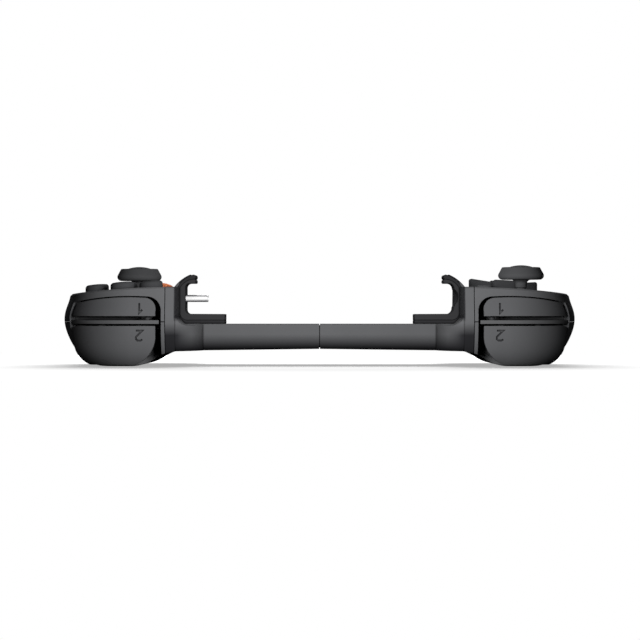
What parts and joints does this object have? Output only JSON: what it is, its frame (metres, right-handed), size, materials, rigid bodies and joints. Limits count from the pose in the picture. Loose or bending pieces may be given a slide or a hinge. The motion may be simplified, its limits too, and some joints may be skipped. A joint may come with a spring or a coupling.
{
  "type": "mobile game controller",
  "caption": "Telescoping game controller: two grip modules with sticks, buttons and triggers, joined by a sliding bridge whose padded C-shaped cradles hold a phone by its ends.",
  "frame": {"origin": "bottom centre of the closed controller's bounding box, on the surface that it lies on", "axes": "+X towards the module with the direction pad, -Y towards the shoulder buttons, +Z out of the playing face"},
  "size_m": [0.176, 0.094, 0.0343],
  "materials": {
    "housing": "fine matte charcoal texture",
    "control": "smooth satin charcoal",
    "cradle": "matte near black",
    "pad": "soft matte black",
    "stick_rubber": "matte dark rubber",
    "bracket": "plain grey moulding",
    "accent": "satin orange",
    "steel": "bright steel",
    "switch": "black",
    "board": "green solder mask",
    "membrane": "translucent grey silicone",
    "rail": "plain aluminium",
    "ribbon": "amber polyimide"
  },
  "bodies": {
    "rail": {"centre_rail": "rail", "rail_cover": "rail", "right_return_spring": "steel"},
    "d_pad_rocker": {"d_pad_rocker": "bracket"},
    "d_pad": {"d_pad": "control"},
    "left_bumper": {"left_bumper": "control"},
    "left_trigger": {"left_trigger": "control"},
    "left_stick_yoke": {"left_stick_yoke": "bracket"},
    "left_stick_lever": {"left_stick_lever": "control"},
    "left_stick_cap": {"left_stick_cap": "stick_rubber"},
    "right_bumper": {"right_bumper": "control"},
    "right_trigger": {"right_trigger": "control"},
    "right_stick_yoke": {"right_stick_yoke": "bracket"},
    "right_stick_lever": {"right_stick_lever": "control"},
    "right_stick_cap": {"right_stick_cap": "stick_rubber"},
    "options_button": {"options_button": "control"},
    "capture_button": {"capture_button": "control"},
    "home_button": {"home_button": "accent"},
    "menu_button": {"menu_button": "control"},
    "face_button_near": {"face_button_near": "control"},
    "face_button_far": {"face_button_far": "control"},
    "face_button_inner": {"face_button_inner": "control"},
    "face_button_outer": {"face_button_outer": "control"},
    "left_half": {"d_pad_base": "bracket", "flex_cable": "ribbon", "headphone_jack": "bracket", "left_bridge_arm": "housing", "left_bridge_cover": "housing", "left_bumper_switch": "switch", "left_button_membrane": "membrane", "left_cradle_frame": "cradle", "left_cradle_pad": "pad", "left_front_shell": "housing", "left_main_board": "board", "left_rear_shell": "housing", "left_return_spring": "steel", "left_screws": "steel", "left_shoulder_bracket": "bracket", "left_stick_frame": "steel", "left_stop_pin": "steel", "left_trigger_pin": "steel", "left_trigger_spring": "steel"},
    "right_half": {"charging_port": "steel", "plug_base": "pad", "right_bridge_arm": "housing", "right_bridge_cover": "housing", "right_bumper_switch": "switch", "right_button_membrane": "membrane", "right_cradle_frame": "cradle", "right_cradle_pad": "pad", "right_front_shell": "housing", "right_main_board": "board", "right_rear_shell": "housing", "right_screws": "steel", "right_shoulder_bracket": "bracket", "right_stick_frame": "steel", "right_stop_pin": "steel", "right_trigger_pin": "steel", "right_trigger_spring": "steel", "usb_plug": "steel"}
  },
  "joints": [
    {"name": "rail_slide", "type": "slide", "parent": "left_half", "child": "rail", "axis": [-1, 0, 0], "range_m": [0, 0.04], "stiffness_N_per_m": 60, "springref_m": -0.01, "deforming": ["left_return_spring", "flex_cable"]},
    {"name": "right_half_slide", "type": "slide", "parent": "rail", "child": "right_half", "axis": [-1, 0, 0], "range_m": [0, 0.04], "stiffness_N_per_m": 60, "springref_m": -0.01, "deforming": ["right_return_spring", "flex_cable"]},
    {"name": "left_bumper_press", "type": "hinge", "parent": "left_half", "child": "left_bumper", "pos_m": [0.0576, -0.0416, 0.0185], "axis": [0, 0, 1], "range_deg": [0, 2.5], "stiffness_Nm_per_rad": 1.5, "springref_deg": -1.15},
    {"name": "left_trigger_pull", "type": "hinge", "parent": "left_half", "child": "left_trigger", "pos_m": [0.0668, -0.0385, 0.012], "axis": [1, 0, 0], "range_deg": [0, 12], "stiffness_Nm_per_rad": 0.15, "springref_deg": -8.59, "deforming": ["left_trigger_spring"]},
    {"name": "left_stick_tilt_y", "type": "hinge", "parent": "left_half", "child": "left_stick_yoke", "pos_m": [0.0687, -0.021, 0.0193], "axis": [1, 0, 0], "range_deg": [-11, 11], "stiffness_Nm_per_rad": 0.05},
    {"name": "left_stick_tilt_x", "type": "hinge", "parent": "left_stick_yoke", "child": "left_stick_lever", "pos_m": [0.0687, -0.021, 0.0193], "axis": [0, 1, 0], "range_deg": [-11, 11], "stiffness_Nm_per_rad": 0.05},
    {"name": "left_stick_click", "type": "slide", "parent": "left_stick_lever", "child": "left_stick_cap", "axis": [0, 0, -1], "range_m": [0, 0.00035], "stiffness_N_per_m": 5000, "springref_m": -0.0002},
    {"name": "right_bumper_press", "type": "hinge", "parent": "right_half", "child": "right_bumper", "pos_m": [-0.0576, -0.0416, 0.0185], "axis": [0, 0, -1], "range_deg": [0, 2.5], "stiffness_Nm_per_rad": 1.5, "springref_deg": -1.15},
    {"name": "right_trigger_pull", "type": "hinge", "parent": "right_half", "child": "right_trigger", "pos_m": [-0.0668, -0.0385, 0.012], "axis": [1, 0, 0], "range_deg": [0, 12], "stiffness_Nm_per_rad": 0.15, "springref_deg": -8.59, "deforming": ["right_trigger_spring"]},
    {"name": "right_stick_tilt_y", "type": "hinge", "parent": "right_half", "child": "right_stick_yoke", "pos_m": [-0.0635, 0.012, 0.0193], "axis": [1, 0, 0], "range_deg": [-11, 11], "stiffness_Nm_per_rad": 0.05},
    {"name": "right_stick_tilt_x", "type": "hinge", "parent": "right_stick_yoke", "child": "right_stick_lever", "pos_m": [-0.0635, 0.012, 0.0193], "axis": [0, 1, 0], "range_deg": [-11, 11], "stiffness_Nm_per_rad": 0.05},
    {"name": "right_stick_click", "type": "slide", "parent": "right_stick_lever", "child": "right_stick_cap", "axis": [0, 0, -1], "range_m": [0, 0.00035], "stiffness_N_per_m": 5000, "springref_m": -0.0002},
    {"name": "d_pad_tilt_y", "type": "hinge", "parent": "left_half", "child": "d_pad_rocker", "pos_m": [0.0646, 0.012, 0.0196], "axis": [1, 0, 0], "range_deg": [-3, 3], "stiffness_Nm_per_rad": 0.5},
    {"name": "d_pad_tilt_x", "type": "hinge", "parent": "d_pad_rocker", "child": "d_pad", "pos_m": [0.0646, 0.012, 0.0196], "axis": [0, 1, 0], "range_deg": [-3, 3], "stiffness_Nm_per_rad": 0.5},
    {"name": "options_button_press", "type": "slide", "parent": "left_half", "child": "options_button", "axis": [0, 0, -1], "range_m": [0, 0.0006], "stiffness_N_per_m": 800, "springref_m": -0.0005},
    {"name": "capture_button_press", "type": "slide", "parent": "left_half", "child": "capture_button", "axis": [0, 0, -1], "range_m": [0, 0.0006], "stiffness_N_per_m": 800, "springref_m": -0.0005},
    {"name": "home_button_press", "type": "slide", "parent": "right_half", "child": "home_button", "axis": [0, 0, -1], "range_m": [0, 0.0006], "stiffness_N_per_m": 800, "springref_m": -0.0005},
    {"name": "menu_button_press", "type": "slide", "parent": "right_half", "child": "menu_button", "axis": [0, 0, -1], "range_m": [0, 0.0006], "stiffness_N_per_m": 800, "springref_m": -0.0005},
    {"name": "face_button_near_press", "type": "slide", "parent": "right_half", "child": "face_button_near", "axis": [0, 0, -1], "range_m": [0, 0.0012], "stiffness_N_per_m": 800, "springref_m": -0.0005},
    {"name": "face_button_far_press", "type": "slide", "parent": "right_half", "child": "face_button_far", "axis": [0, 0, -1], "range_m": [0, 0.0012], "stiffness_N_per_m": 800, "springref_m": -0.0005},
    {"name": "face_button_inner_press", "type": "slide", "parent": "right_half", "child": "face_button_inner", "axis": [0, 0, -1], "range_m": [0, 0.0012], "stiffness_N_per_m": 800, "springref_m": -0.0005},
    {"name": "face_button_outer_press", "type": "slide", "parent": "right_half", "child": "face_button_outer", "axis": [0, 0, -1], "range_m": [0, 0.0012], "stiffness_N_per_m": 800, "springref_m": -0.0005}
  ],
  "couplings": [
    {"joint": "right_half_slide", "follows": "rail_slide", "ratio": 1}
  ]
}
